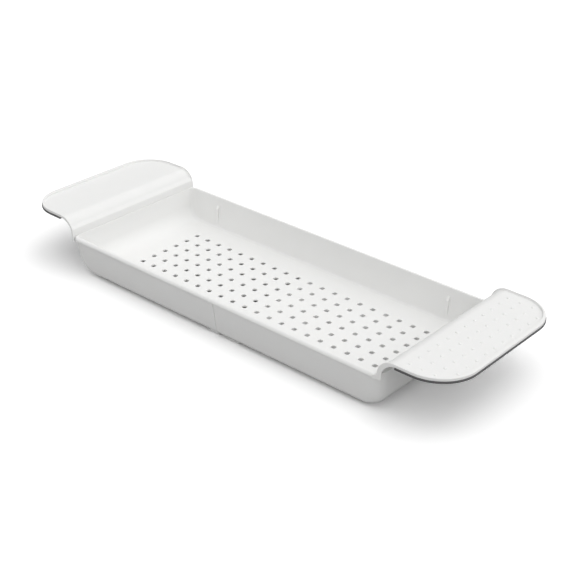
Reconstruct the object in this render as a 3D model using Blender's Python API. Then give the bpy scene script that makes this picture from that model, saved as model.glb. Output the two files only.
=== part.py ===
"""Telescoping bath caddy: two perforated plastic trays that slide in one another and bridge a bath.

The main tray holds the whole basin, a double wall round its right half and the right wing. The sliding
tray lies round and under the basin's left half, reaches into the double wall with a tongue, and ends in
the left wing. A guide strap closes the sleeve under the tongue, and each wing rests on a rubber grip pad.
Sizes are in metres. X runs along the caddy, Z up. Inside the functions the basin floor is at height zero
and the middle of the hole pattern is at X zero.
"""

import math

import bmesh
import bpy

# Drain holes, the same in both floors
HOLE_PITCH = 0.0168
HOLE_SIDE = 0.0046
HOLE_COLUMNS = 20
HOLE_ROWS = 7

# Basin of the main tray
BASIN_LENGTH = 0.3990
BASIN_HALF_WIDTH = 0.0820
BASIN_HEIGHT = 0.0350
SIDE_DRAFT = math.radians(9.0)
END_DRAFT = math.radians(6.5)
BASIN_END_RADIUS = 0.0170
BASIN_CREASE_RADIUS = 0.0030
BASIN_FLOOR = 0.0018
BASIN_SKIN = 0.0012

# Lip round the top of the basin
LIP_TOP = 0.0016
LIP_DEPTH = 0.0042
LIP_OVERHANG = 0.0011
LIP_CORNER_RADIUS = 0.0084

# Sleeve round the right half of the basin
SEAM_PLACE = 0.0025
SLEEVE_SKIN = 0.0012
SLEEVE_FLOOR = 0.0015
SLEEVE_LENGTH = 0.2016
SLEEVE_END_RADIUS = 0.0120
SLEEVE_LEDGE = 0.0162
SLEEVE_WINDOW_END_MARGIN = 0.0140

# Sliding tray
TRAY_SKIN = 0.0012
TRAY_FLOOR = 0.0018
TRAY_END_SKIN = 0.0016
TRAY_WALL_SETBACK = 0.0003
TONGUE_LENGTH = 0.1855
TONGUE_TOP_GAP = 0.0004
WEB = 0.0015
CATCH_LENGTH = 0.0030
CATCH_DEPTH = 0.0016
CATCH_INSET = 0.0100
FOOT_LENGTH = 0.0140
FOOT_SETBACK = 0.0004

# Clearances between the two trays
SIDE_GAP = 0.0003
FLOOR_GAP = 0.0005
END_GAP = 0.0003
REST_GAP = 0.0003

# Wings
WING_RISE = 0.0192
WING_SKIN = 0.0018
HUMP_RADIUS = 0.0176
HUMP_FOOT_RADIUS = 0.0035
HUMP_FLANGE = 0.0018
HUMP_FLANGE_EXTRA = 0.0030
RIGHT_WING_LENGTH = 0.0787
LEFT_WING_LENGTH = 0.0747
LEFT_WING_INSET = 0.0010
WING_CORNER_RADIUS = 0.0370

# Guide strap under the sleeve
STRAP_SETBACK = 0.0084
STRAP_LENGTH = 0.0185
STRAP_DEPTH = 0.0028
STRAP_INSET = 0.0072
STRAP_CORNER_RADIUS = 0.0020
STRAP_CREST_GAP = 0.0004
PEG_RADIUS = 0.0020
PEG_SPREAD = 0.0100
PEG_INSET = 0.0045

# Grip pads
PAD_THICKNESS = 0.0027
PAD_EDGE = 0.0006
PAD_SETBACK = 0.0015

# Upright ribs on the basin's long walls
RIB_LENGTH = 0.0034
RIB_REACH = 0.0032
RIB_HEIGHT = 0.0225
RIB_CHAMFER = 0.0035

# Overrun of every cut
OVERRUN = 0.0100

# Steps of the round stretches, and the bevel profile share that makes them circular
ARC_STEPS = 8
BEND_STEPS = 5
CREASE_STEPS = 3
PEG_SIDES = 16
CIRCULAR_SHARE = 0.5

# Levels above and below the basin floor
BASIN_UNDER = -BASIN_FLOOR
TONGUE_FLOOR = BASIN_UNDER - FLOOR_GAP
TONGUE_UNDER = TONGUE_FLOOR - TRAY_FLOOR
SLEEVE_INSIDE = TONGUE_UNDER - SIDE_GAP
CADDY_UNDER = SLEEVE_INSIDE - SLEEVE_FLOOR
FOOT_LEVEL = CADDY_UNDER - STRAP_DEPTH
LIP_UNDER = BASIN_HEIGHT - LIP_DEPTH
POCKET_TOP = BASIN_HEIGHT - LIP_TOP
TONGUE_TOP = POCKET_TOP - TONGUE_TOP_GAP
TRAY_WALL_TOP = LIP_UNDER - TRAY_WALL_SETBACK
WING_TOP = BASIN_HEIGHT + WING_RISE
WING_UNDER = WING_TOP - WING_SKIN

# Half widths at the level of the basin floor, from the basin outwards
BASIN_OUTSIDE = BASIN_HALF_WIDTH + BASIN_SKIN
TONGUE_INSIDE = BASIN_OUTSIDE + SIDE_GAP
TONGUE_OUTSIDE = TONGUE_INSIDE + TRAY_SKIN
SLEEVE_INSIDE_WIDTH = TONGUE_OUTSIDE + SIDE_GAP
SLEEVE_OUTSIDE = SLEEVE_INSIDE_WIDTH + SLEEVE_SKIN
LIP_HALF_WIDTH = SLEEVE_OUTSIDE + LIP_UNDER * math.tan(SIDE_DRAFT) + LIP_OVERHANG
LEFT_WING_HALF_WIDTH = LIP_HALF_WIDTH - LEFT_WING_INSET
SLEEVE_WINDOW_HALF_WIDTH = SLEEVE_OUTSIDE - SLEEVE_LEDGE
CATCH_HALF_WIDTH = SLEEVE_WINDOW_HALF_WIDTH - CATCH_INSET
STRAP_HALF_WIDTH = SLEEVE_OUTSIDE - STRAP_INSET

# Crease radii of the nested trays, from the basin outwards
BASIN_OUTER_CREASE = BASIN_CREASE_RADIUS + BASIN_SKIN
TONGUE_INNER_CREASE = BASIN_OUTER_CREASE + SIDE_GAP
TONGUE_OUTER_CREASE = TONGUE_INNER_CREASE + TRAY_SKIN
SLEEVE_INNER_CREASE = TONGUE_OUTER_CREASE + SIDE_GAP
SLEEVE_OUTER_CREASE = SLEEVE_INNER_CREASE + SLEEVE_SKIN

# Ends at the level of the basin floor
BASIN_END = BASIN_LENGTH / 2
BASIN_END_OUTSIDE = BASIN_END + BASIN_SKIN
SLEEVE_END = SEAM_PLACE + SLEEVE_LENGTH
TRAY_END_INSIDE = BASIN_END_OUTSIDE + END_GAP
TRAY_END = TRAY_END_INSIDE + TRAY_END_SKIN
TRAY_SHOULDER = SEAM_PLACE - END_GAP
TONGUE_END = SEAM_PLACE + TONGUE_LENGTH

# Radii of the basin's and the sliding tray's bent ends, from the basin outwards
BASIN_OUTER_RADIUS = BASIN_END_RADIUS + BASIN_SKIN
TRAY_INNER_RADIUS = BASIN_OUTER_RADIUS + BASIN_UNDER - TONGUE_UNDER
TRAY_OUTER_RADIUS = TRAY_INNER_RADIUS + TRAY_END_SKIN

# Strap place
STRAP_START = SEAM_PLACE + STRAP_SETBACK
STRAP_END = STRAP_START + STRAP_LENGTH
STRAP_MIDDLE = (STRAP_START + STRAP_END) / 2


def face_at(end, height):
    """Distance of a leaning end face from the middle at the given height."""
    return end + height * math.tan(END_DRAFT)


def hump_centre(end):
    """Distance and height of the middle of the hump's arc above a leaning end face."""
    height = WING_TOP - HUMP_RADIUS
    touch = height + HUMP_RADIUS * math.sin(END_DRAFT)
    return face_at(end, touch) + HUMP_RADIUS * math.cos(END_DRAFT), height


RIGHT_HUMP, HUMP_HEIGHT = hump_centre(BASIN_END)
LEFT_HUMP = hump_centre(TRAY_END_INSIDE)[0]
RIGHT_WING_END = face_at(BASIN_END, BASIN_HEIGHT) + RIGHT_WING_LENGTH
LEFT_WING_END = face_at(TRAY_END_INSIDE, BASIN_HEIGHT) + LEFT_WING_LENGTH

# Shift from the hole pattern's middle to the middle of the foot print, and from the floor to the feet
CADDY_SHIFT = ((LEFT_WING_END - RIGHT_WING_END) / 2, 0.0, -FOOT_LEVEL)


def clear_scene():
    """Remove whatever objects the scene starts with."""
    for item in list(bpy.data.objects):
        bpy.data.objects.remove(item, do_unlink=True)


def new_collection(name):
    """Add an empty collection to the scene."""
    group = bpy.data.collections.new(name)
    bpy.context.scene.collection.children.link(group)
    return group


def new_material(name, colour, roughness):
    """Plain plastic or rubber of one colour."""
    material = bpy.data.materials.new(name)
    material.use_nodes = True
    shader = material.node_tree.nodes["Principled BSDF"]
    shader.inputs["Base Color"].default_value = (*colour, 1.0)
    shader.inputs["Roughness"].default_value = roughness
    shader.inputs["Metallic"].default_value = 0.0
    return material


def add_cutter(name, shape, group):
    """Turn a bmesh into a hidden helper solid."""
    mesh = bpy.data.meshes.new(name)
    bmesh.ops.recalc_face_normals(shape, faces=shape.faces)
    shape.to_mesh(mesh)
    shape.free()
    item = bpy.data.objects.new(name, mesh)
    item.hide_render = True
    item.display_type = "WIRE"
    group.objects.link(item)
    return item


def arc(centre_x, centre_z, radius, start, stop, steps):
    """Points of an arc, from one angle to another in radians."""
    points = []
    for step in range(steps + 1):
        angle = start + (stop - start) * step / steps
        points.append((centre_x + radius * math.cos(angle), centre_z + radius * math.sin(angle)))
    return points


def block(name, low, high, group):
    """Plain box between two corners."""
    shape = bmesh.new()
    bmesh.ops.create_cube(shape, size=1.0)
    for vertex in shape.verts:
        for axis in range(3):
            vertex.co[axis] = high[axis] if vertex.co[axis] > 0 else low[axis]
    return add_cutter(name, shape, group)


def is_side(face):
    """Whether a face is one of the two long leaning sides of a trough."""
    return abs(face.normal.y) > math.cos(2 * SIDE_DRAFT)


def lies_at(edge, axis, place):
    """Whether both ends of an edge lie at a place along an axis."""
    return all(abs(vertex.co[axis] - place) < REST_GAP / 10 for vertex in edge.verts)


def trough(name, ends, half_width, levels, crease, group, drafts=(0.0, 0.0), end_radii=(0.0, 0.0)):
    """Solid with leaning long sides: ends and half width count at the level of the basin floor.

    An end with a radius is bent up from the bottom with that radius, and its upright corners get the
    crease radius, as the long bottom edges do. An end without one is cut off square.
    """
    shape = bmesh.new()
    bmesh.ops.create_cube(shape, size=1.0)
    bottom, top = levels
    for vertex in shape.verts:
        height = top if vertex.co.z > 0 else bottom
        side = half_width + height * math.tan(SIDE_DRAFT)
        if vertex.co.x > 0:
            vertex.co.x = ends[1] + height * math.tan(drafts[1])
        else:
            vertex.co.x = ends[0] - height * math.tan(drafts[0])
        vertex.co.y = math.copysign(side, vertex.co.y)
        vertex.co.z = height
    middle = (ends[0] + ends[1]) / 2
    flat_ends = []
    for which, radius in enumerate(end_radii):
        at_end = [e for e in shape.edges if all((v.co.x > middle) == (which == 1) for v in e.verts)]
        if radius == 0.0:
            flat_ends.extend(v.co.x for e in at_end for v in e.verts)
            continue
        low_edge = [e for e in at_end if lies_at(e, 2, bottom)]
        bmesh.ops.bevel(shape, geom=low_edge, offset=radius, offset_type="OFFSET", segments=BEND_STEPS,
                        profile=CIRCULAR_SHARE, affect="EDGES", clamp_overlap=False)
    shape.normal_update()
    creases = []
    for edge in shape.edges:
        on_flat_end = any(lies_at(edge, 0, place) for place in flat_ends)
        sides = sum(is_side(face) for face in edge.link_faces)
        if sides == 1 and not lies_at(edge, 2, top) and not on_flat_end:
            creases.append(edge)
    bmesh.ops.bevel(shape, geom=creases, offset=crease, offset_type="OFFSET", segments=CREASE_STEPS,
                    profile=CIRCULAR_SHARE, affect="EDGES", clamp_overlap=False)
    return add_cutter(name, shape, group)


def outline_solid(name, points, low, high, group, upright=False):
    """Solid with the given flat outline, drawn on X and Z when upright and on X and Y otherwise."""
    shape = bmesh.new()
    first = []
    for across, along in points:
        place = (across, low, along) if upright else (across, along, low)
        first.append(shape.verts.new(place))
    base = shape.faces.new(first)
    pushed = bmesh.ops.extrude_face_region(shape, geom=[base])
    for item in pushed["geom"]:
        if isinstance(item, bmesh.types.BMVert):
            item.co[1 if upright else 2] = high
    return add_cutter(name, shape, group)


def combine(target, other, operation):
    """Add a Boolean step to an object."""
    step = target.modifiers.new(operation.lower() + "_" + other.name, "BOOLEAN")
    step.operation = operation
    step.solver = "EXACT"
    step.object = other


def finish_piece(item, name, material, group, cutters, holder):
    """Give a helper solid its place among the parts."""
    cutters.objects.unlink(item)
    group.objects.link(item)
    item.name = name
    item.data.name = name
    item.hide_render = False
    item.display_type = "TEXTURED"
    item.data.materials.append(material)
    item.parent = holder
    return item


def drain_holes(cutters):
    """All hole cutters as one object: square prisms on the pattern of rows and columns."""
    shape = bmesh.new()
    for column in range(HOLE_COLUMNS):
        for row in range(HOLE_ROWS):
            x = (column - (HOLE_COLUMNS - 1) / 2) * HOLE_PITCH
            y = (row - (HOLE_ROWS - 1) / 2) * HOLE_PITCH
            made = bmesh.ops.create_cube(shape, size=1.0)
            for vertex in made["verts"]:
                vertex.co.x = x + math.copysign(HOLE_SIDE / 2, vertex.co.x)
                vertex.co.y = y + math.copysign(HOLE_SIDE / 2, vertex.co.y)
                vertex.co.z = OVERRUN if vertex.co.z > 0 else FOOT_LEVEL - OVERRUN
    return add_cutter("drain_hole_cutter", shape, cutters)


def wing_plan(name, start, end, half_width, corner, start_corner, group):
    """Upright prism over a wing's plan: a long rectangle whose outer corners are round."""
    way = math.copysign(1.0, end - start)
    points = []
    inner = start + way * start_corner
    outer = end - way * corner
    side = half_width - start_corner
    if start_corner > 0:
        points += [(x if way > 0 else 2 * inner - x, y) for x, y in
                   arc(inner, -side, start_corner, math.pi, 1.5 * math.pi, ARC_STEPS)]
    else:
        points.append((start, -half_width))
    rim = half_width - corner
    for x, y in arc(outer, -rim, corner, -math.pi / 2, 0.0, ARC_STEPS):
        points.append((x if way > 0 else 2 * outer - x, y))
    points += [(x, -y) for x, y in reversed(points)]
    return outline_solid(name, points, FOOT_LEVEL - OVERRUN, WING_TOP + OVERRUN, group)


def hump_line(centre, radius, height):
    """Quarter round of a hump, from its end face to the top, drawn for the right end."""
    return arc(centre, height, radius, math.pi - END_DRAFT, math.pi / 2, ARC_STEPS)


def mirrored(points, way):
    """Outline points with X turned round for the left end."""
    return [(way * x, z) for x, z in points]


def wing_sheet(name, end, wing_end, root, half_width, way, group):
    """Bent sheet that rises from an end wall, goes over the hump and runs out as the flat wing.

    Its upper face stands proud and is trimmed afterwards, together with the wall below it.
    """
    centre = hump_centre(end)[0]
    over = HUMP_RADIUS + OVERRUN / 10
    under = HUMP_RADIUS - WING_SKIN
    upper = [(face_at(end, root) - OVERRUN / 10, root)]
    upper += hump_line(centre, over, HUMP_HEIGHT)
    upper.append((wing_end + OVERRUN, HUMP_HEIGHT + over))
    lower = [(face_at(end, root) + WING_SKIN, root)]
    lower += hump_line(centre, under, HUMP_HEIGHT)
    lower.append((wing_end + OVERRUN, HUMP_HEIGHT + under))
    points = mirrored(upper + list(reversed(lower)), way)
    return outline_solid(name, points, -half_width, half_width, group, upright=True)


def space_above(name, end, floor_level, foot_radius, far_side, wing_end, way, group):
    """Prism over the caddy that trims the rim level, the hump and the wing's upper face."""
    centre = hump_centre(end)[0]
    points = [(far_side, floor_level)]
    if foot_radius > 0:
        foot_x = face_at(end, floor_level) - foot_radius
        points += arc(foot_x, floor_level + foot_radius, foot_radius,
                      -math.pi / 2, -END_DRAFT, CREASE_STEPS)
    else:
        points.append((face_at(end, floor_level), floor_level))
    points += hump_line(centre, HUMP_RADIUS, HUMP_HEIGHT)
    points.append((wing_end + 2 * OVERRUN, WING_TOP))
    points.append((wing_end + 2 * OVERRUN, WING_TOP + 3 * OVERRUN))
    points.append((far_side, WING_TOP + 3 * OVERRUN))
    reach = LIP_HALF_WIDTH + OVERRUN
    return outline_solid(name, mirrored(points, way), -reach, reach, group, upright=True)


def make_main_tray(group, cutters, holes, plastic, holder):
    """Main tray: basin with its lip, sleeve round the right half, hump and right wing."""
    tray = trough("main_tray_sleeve", (SEAM_PLACE, SLEEVE_END), SLEEVE_OUTSIDE,
                  (CADDY_UNDER, WING_TOP), SLEEVE_OUTER_CREASE, cutters,
                  drafts=(0.0, END_DRAFT), end_radii=(0.0, SLEEVE_END_RADIUS))
    left_end = face_at(BASIN_END_OUTSIDE, LIP_UNDER)
    right_end = face_at(BASIN_END_OUTSIDE, BASIN_HEIGHT)
    reach = LIP_HALF_WIDTH + OVERRUN / 4
    rim = block("rim_slab", (-left_end, -reach, LIP_UNDER),
                (right_end, reach, BASIN_HEIGHT + OVERRUN / 3), cutters)
    combine(tray, rim, "UNION")
    pocket = trough("tongue_pocket", (-left_end - OVERRUN, SLEEVE_END - SLEEVE_SKIN),
                    SLEEVE_INSIDE_WIDTH, (SLEEVE_INSIDE, POCKET_TOP), SLEEVE_INNER_CREASE, cutters,
                    drafts=(0.0, END_DRAFT), end_radii=(0.0, SLEEVE_END_RADIUS - SLEEVE_SKIN))
    combine(tray, pocket, "DIFFERENCE")
    end_pocket = trough("end_pocket", (BASIN_END, SLEEVE_END - SLEEVE_SKIN - SIDE_GAP),
                        BASIN_HALF_WIDTH, (LIP_UNDER, HUMP_HEIGHT), BASIN_CREASE_RADIUS, cutters,
                        drafts=(0.0, END_DRAFT))
    combine(tray, end_pocket, "DIFFERENCE")
    basin = trough("basin_outside", (-BASIN_END_OUTSIDE, BASIN_END_OUTSIDE), BASIN_OUTSIDE,
                   (BASIN_UNDER, BASIN_HEIGHT + OVERRUN / 5), BASIN_OUTER_CREASE, cutters,
                   drafts=(END_DRAFT, END_DRAFT),
                   end_radii=(BASIN_OUTER_RADIUS, BASIN_OUTER_RADIUS))
    combine(tray, basin, "UNION")
    sheet = wing_sheet("right_sheet", BASIN_END, RIGHT_WING_END, TONGUE_TOP - OVERRUN / 5,
                       LIP_HALF_WIDTH + OVERRUN, 1.0, cutters)
    combine(tray, sheet, "UNION")
    for side in (-1, 1):
        combine(tray, hump_flange(side, cutters), "UNION")
    cavity = trough("basin_cavity", (-BASIN_END, BASIN_END), BASIN_HALF_WIDTH,
                    (0.0, BASIN_HEIGHT + OVERRUN / 4), BASIN_CREASE_RADIUS, cutters,
                    drafts=(END_DRAFT, END_DRAFT), end_radii=(BASIN_END_RADIUS, BASIN_END_RADIUS))
    combine(tray, cavity, "DIFFERENCE")
    above = space_above("space_over_main_tray", BASIN_END, BASIN_HEIGHT, HUMP_FOOT_RADIUS,
                        -left_end - 2 * OVERRUN, RIGHT_WING_END, 1.0, cutters)
    combine(tray, above, "DIFFERENCE")
    plan = wing_plan("main_tray_plan", -left_end - OVERRUN / 5, RIGHT_WING_END, LIP_HALF_WIDTH,
                     WING_CORNER_RADIUS, LIP_CORNER_RADIUS, cutters)
    combine(tray, plan, "INTERSECT")
    window = block("sleeve_window",
                   (SEAM_PLACE - OVERRUN, -SLEEVE_WINDOW_HALF_WIDTH, CADDY_UNDER - OVERRUN),
                   (SLEEVE_END - SLEEVE_WINDOW_END_MARGIN, SLEEVE_WINDOW_HALF_WIDTH,
                    SLEEVE_INSIDE + SIDE_GAP), cutters)
    combine(tray, window, "DIFFERENCE")
    combine(tray, peg_holes(cutters), "DIFFERENCE")
    for end in (-1, 1):
        for side in (-1, 1):
            combine(tray, wall_rib(end, side, cutters), "UNION")
    combine(tray, holes, "DIFFERENCE")
    return finish_piece(tray, "main_tray", plastic, group, cutters, holder)


def hump_flange(side, cutters):
    """Side flange of the right hump, deep at the wall and running out at the wing."""
    under = HUMP_RADIUS - WING_SKIN
    outer = hump_line(RIGHT_HUMP, HUMP_RADIUS + OVERRUN / 20, HUMP_HEIGHT)
    inner = hump_line(RIGHT_HUMP + HUMP_FLANGE_EXTRA, under, HUMP_HEIGHT)
    points = [(outer[0][0], BASIN_HEIGHT)] + outer + list(reversed(inner)) + [(inner[0][0], BASIN_HEIGHT)]
    name = "hump_flange_far" if side > 0 else "hump_flange_near"
    faces = sorted((side * (LIP_HALF_WIDTH - HUMP_FLANGE), side * (LIP_HALF_WIDTH + OVERRUN / 2)))
    return outline_solid(name, points, faces[0], faces[1], cutters, upright=True)


def wall_rib(end, side, cutters):
    """Slim upright rib on a long wall, in line with the last column of holes, its top chamfered."""
    x = end * (HOLE_COLUMNS - 1) / 2 * HOLE_PITCH
    lean = math.tan(SIDE_DRAFT)
    rise = RIB_HEIGHT + RIB_CHAMFER
    front = BASIN_HALF_WIDTH + RIB_HEIGHT * lean - RIB_REACH
    back = BASIN_HALF_WIDTH + BASIN_SKIN / 2
    crease = BASIN_CREASE_RADIUS
    points = [(front, crease / 2), (front, RIB_HEIGHT), (front + RIB_CHAMFER, rise),
              (back + rise * lean, rise), (back + crease * lean, crease)]
    shape = bmesh.new()
    first = [shape.verts.new((x - RIB_LENGTH / 2, side * y, z)) for y, z in points]
    base = shape.faces.new(first)
    pushed = bmesh.ops.extrude_face_region(shape, geom=[base])
    for item in pushed["geom"]:
        if isinstance(item, bmesh.types.BMVert):
            item.co.x += RIB_LENGTH
    return add_cutter(f"wall_rib_{end}_{side}", shape, cutters)


def peg_places():
    """Plan places of the strap's four pegs."""
    across = STRAP_HALF_WIDTH - PEG_INSET
    return [(STRAP_MIDDLE + end * PEG_SPREAD / 2, side * across) for end in (-1, 1) for side in (-1, 1)]


def pegs(name, radius, bottom, top, cutters):
    """Four upright round pegs in one object."""
    shape = bmesh.new()
    for x, y in peg_places():
        made = bmesh.ops.create_cone(shape, cap_ends=True, segments=PEG_SIDES, radius1=radius,
                                     radius2=radius, depth=top - bottom)
        bmesh.ops.translate(shape, verts=made["verts"], vec=(x, y, (top + bottom) / 2))
    return add_cutter(name, shape, cutters)


def peg_holes(cutters):
    """Holes through the sleeve's floor flanges that the strap's pegs sit in."""
    return pegs("peg_holes", PEG_RADIUS + REST_GAP, CADDY_UNDER - OVERRUN / 10,
                SLEEVE_INSIDE + SIDE_GAP, cutters)


def make_guide_strap(group, cutters, holes, plastic, holder):
    """Strap that bridges the sleeve's two floor flanges and carries the tongue between them."""
    plate_top = CADDY_UNDER - REST_GAP
    strap = rounded_bar("strap_plate", STRAP_START, STRAP_END, STRAP_HALF_WIDTH, FOOT_LEVEL, plate_top,
                        cutters)
    crest = block("strap_crest",
                  (STRAP_START, -SLEEVE_WINDOW_HALF_WIDTH + REST_GAP, plate_top - STRAP_DEPTH / 2),
                  (STRAP_END, SLEEVE_WINDOW_HALF_WIDTH - REST_GAP, TONGUE_UNDER - STRAP_CREST_GAP),
                  cutters)
    combine(strap, crest, "UNION")
    combine(strap, pegs("strap_pegs", PEG_RADIUS, plate_top - STRAP_DEPTH / 2, SLEEVE_INSIDE - SIDE_GAP,
                        cutters), "UNION")
    combine(strap, holes, "DIFFERENCE")
    return finish_piece(strap, "guide_strap", plastic, group, cutters, holder)


def rounded_bar(name, start, end, half_width, bottom, top, cutters):
    """Flat bar across the caddy with round plan corners."""
    radius = STRAP_CORNER_RADIUS
    points = arc(end - radius, half_width - radius, radius, 0.0, math.pi / 2, CREASE_STEPS)
    points += arc(start + radius, half_width - radius, radius, math.pi / 2, math.pi, CREASE_STEPS)
    points += [(x, -y) for x, y in reversed(points)]
    return outline_solid(name, points, bottom, top, cutters)


def make_sliding_tray(group, cutters, holes, plastic, holder):
    """Sliding tray: shell round the basin's left half, tongue, foot, end wall, hump and left wing."""
    tray = trough("sliding_shell", (-TRAY_END, TRAY_SHOULDER), SLEEVE_OUTSIDE,
                  (CADDY_UNDER, TRAY_WALL_TOP), SLEEVE_OUTER_CREASE, cutters,
                  drafts=(END_DRAFT, 0.0), end_radii=(TRAY_OUTER_RADIUS, 0.0))
    tongue = trough("tongue_outside", (TRAY_SHOULDER - WEB, TONGUE_END), TONGUE_OUTSIDE,
                    (TONGUE_UNDER, TONGUE_TOP), TONGUE_OUTER_CREASE, cutters)
    combine(tray, tongue, "UNION")
    sheet = wing_sheet("left_sheet", TRAY_END_INSIDE, LEFT_WING_END, LIP_UNDER - LIP_TOP,
                       LEFT_WING_HALF_WIDTH + OVERRUN, -1.0, cutters)
    combine(tray, sheet, "UNION")
    above = space_above("space_over_sliding_tray", TRAY_END_INSIDE, TRAY_WALL_TOP, 0.0,
                        TRAY_END_INSIDE - 2 * OVERRUN, LEFT_WING_END, -1.0, cutters)
    combine(tray, above, "DIFFERENCE")
    inside = trough("sliding_inside", (-TRAY_END_INSIDE, TRAY_SHOULDER - WEB), SLEEVE_INSIDE_WIDTH,
                    (TONGUE_UNDER, TRAY_WALL_TOP), SLEEVE_INNER_CREASE, cutters,
                    drafts=(END_DRAFT, 0.0), end_radii=(TRAY_INNER_RADIUS, 0.0))
    combine(tray, inside, "DIFFERENCE")
    tongue_inside = trough("tongue_inside", (TRAY_SHOULDER - OVERRUN, TONGUE_END + OVERRUN),
                           TONGUE_INSIDE, (TONGUE_FLOOR, TONGUE_TOP + OVERRUN / 5),
                           TONGUE_INNER_CREASE, cutters)
    combine(tray, tongue_inside, "DIFFERENCE")
    plan = wing_plan("sliding_tray_plan", TONGUE_END + OVERRUN, -LEFT_WING_END, LEFT_WING_HALF_WIDTH,
                     WING_CORNER_RADIUS, 0.0, cutters)
    combine(tray, plan, "INTERSECT")
    catch = block("tongue_catch",
                  (TONGUE_END - CATCH_LENGTH, -CATCH_HALF_WIDTH, TONGUE_UNDER - CATCH_DEPTH),
                  (TONGUE_END, CATCH_HALF_WIDTH, TONGUE_UNDER + TRAY_FLOOR / 2), cutters)
    combine(tray, catch, "UNION")
    foot_end = TRAY_SHOULDER - FOOT_SETBACK
    foot = rounded_bar("tray_foot", foot_end - FOOT_LENGTH, foot_end, STRAP_HALF_WIDTH, FOOT_LEVEL,
                       CADDY_UNDER + TRAY_FLOOR / 2, cutters)
    combine(tray, foot, "UNION")
    combine(tray, holes, "DIFFERENCE")
    return finish_piece(tray, "sliding_tray", plastic, group, cutters, holder)


def make_grip_pad(name, hump, wing_end, half_width, group, cutters, rubber, holder):
    """Rubber pad under the flat of a wing, showing as a thin line round its edge."""
    way = math.copysign(1.0, wing_end)
    start = hump + way * PAD_SETBACK
    end = wing_end + way * PAD_EDGE
    corner = WING_CORNER_RADIUS + PAD_EDGE
    wide = half_width + PAD_EDGE
    outer = abs(end) - corner
    points = [(abs(start), -wide)] + arc(outer, -wide + corner, corner, -math.pi / 2, 0.0, ARC_STEPS)
    points += [(x, -y) for x, y in reversed(points)]
    top = WING_UNDER - REST_GAP
    pad = outline_solid(name + "_solid", mirrored(points, way), top - PAD_THICKNESS, top, cutters)
    return finish_piece(pad, name, rubber, group, cutters, holder)


def main():
    """Build the caddy."""
    clear_scene()
    parts = new_collection("bath_caddy")
    cutters = new_collection("cutters")
    fixed_side = bpy.data.objects.new("fixed_side", None)
    sliding_side = bpy.data.objects.new("sliding_side", None)
    for holder in (fixed_side, sliding_side):
        holder.location = CADDY_SHIFT
        parts.objects.link(holder)
    plastic = new_material("white_plastic", (0.86, 0.86, 0.845), 0.38)
    inner_plastic = new_material("strap_plastic", (0.80, 0.80, 0.785), 0.45)
    rubber = new_material("grey_rubber", (0.085, 0.085, 0.09), 0.75)
    holes = drain_holes(cutters)
    make_main_tray(parts, cutters, holes, plastic, fixed_side)
    make_guide_strap(parts, cutters, holes, inner_plastic, fixed_side)
    make_sliding_tray(parts, cutters, holes, plastic, sliding_side)
    make_grip_pad("right_grip_pad", RIGHT_HUMP, RIGHT_WING_END, LIP_HALF_WIDTH, parts, cutters,
                  rubber, fixed_side)
    make_grip_pad("left_grip_pad", -LEFT_HUMP, -LEFT_WING_END, LEFT_WING_HALF_WIDTH, parts, cutters,
                  rubber, sliding_side)
    for cutter in cutters.objects:
        cutter.parent = fixed_side


main()
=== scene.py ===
"""Bath caddy: two white trays that slide in one another, with dark rubber grip pads under their wings."""

import math

import bmesh
import bpy
from mathutils import Matrix, Vector


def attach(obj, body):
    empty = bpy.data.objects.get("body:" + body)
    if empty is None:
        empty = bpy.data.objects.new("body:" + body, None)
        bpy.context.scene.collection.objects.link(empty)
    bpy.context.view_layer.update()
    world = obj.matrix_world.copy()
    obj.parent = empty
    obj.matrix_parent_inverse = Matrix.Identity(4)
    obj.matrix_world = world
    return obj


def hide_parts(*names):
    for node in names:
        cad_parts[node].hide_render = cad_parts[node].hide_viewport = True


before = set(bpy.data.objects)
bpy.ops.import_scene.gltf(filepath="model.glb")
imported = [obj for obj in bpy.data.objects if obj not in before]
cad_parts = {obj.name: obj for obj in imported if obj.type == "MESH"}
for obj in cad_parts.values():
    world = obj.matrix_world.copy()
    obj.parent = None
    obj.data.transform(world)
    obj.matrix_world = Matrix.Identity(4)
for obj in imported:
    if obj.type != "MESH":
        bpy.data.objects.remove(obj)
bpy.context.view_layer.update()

# Main tray: one injection moulding of white polypropylene with a satin face. It is the whole basin with
# its drain holes, the sleeve wall round the basin's right half, the lip, the right hump and the right wing.

# Place of the hole pattern's middle and of the basin floor in the frame
MIDDLE_X = -0.00125
FLOOR_Z = 0.0087

HOLE_PITCH = 0.0168
HOLE_HALF = 0.0026
HOLE_CORNER = 0.0019
HOLE_FLARE = 0.00045
HOLE_COLUMNS = 20
HOLE_ROWS = 7
SIDE_LEAN = math.radians(9.0)
END_LEAN = math.radians(6.5)
BASIN_END = 0.1995
BASIN_SIDE = 0.0820
BASIN_RISE = 0.0350
BASIN_END_BEND = 0.0170
BASIN_SIDE_BEND = 0.0034
BASIN_CORNER = 0.0045
BASIN_SKIN = 0.0012
BASIN_FLOOR = 0.0018
SIDE_BEND_STEPS = 7
END_BEND_STEPS = 14
CORNER_STEPS = 8
LIP_UNDER = 0.0308
LIP_SIDE = 0.092178
LIP_CORNER = 0.0090
LIP_FOOT = 0.00405
POCKET_TOP = 0.0334
SLEEVE_START = 0.0025
SLEEVE_END = 0.2041
SLEEVE_SIDE = 0.0862
SLEEVE_UNDER = -0.0059
SLEEVE_INSIDE = -0.0044
SLEEVE_SKIN = 0.0012
SLEEVE_SIDE_BEND = 0.0072
SLEEVE_END_BEND = 0.0180
SLEEVE_CORNER = 0.0120
WINDOW_SIDE = 0.0700
WINDOW_MARGIN = 0.0140
RUNNING_GAP = 0.0003
LIP_ROUND = 0.0031
LIP_UNDERCUT = 0.0006
LIP_ROUND_END = 0.1990
WING_TOP = 0.0542
WING_UNDER = 0.0516
HUMP_RADIUS = 0.0176
SHEET_SKIN = 0.0018
WING_SKIN = WING_TOP - WING_UNDER
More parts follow.
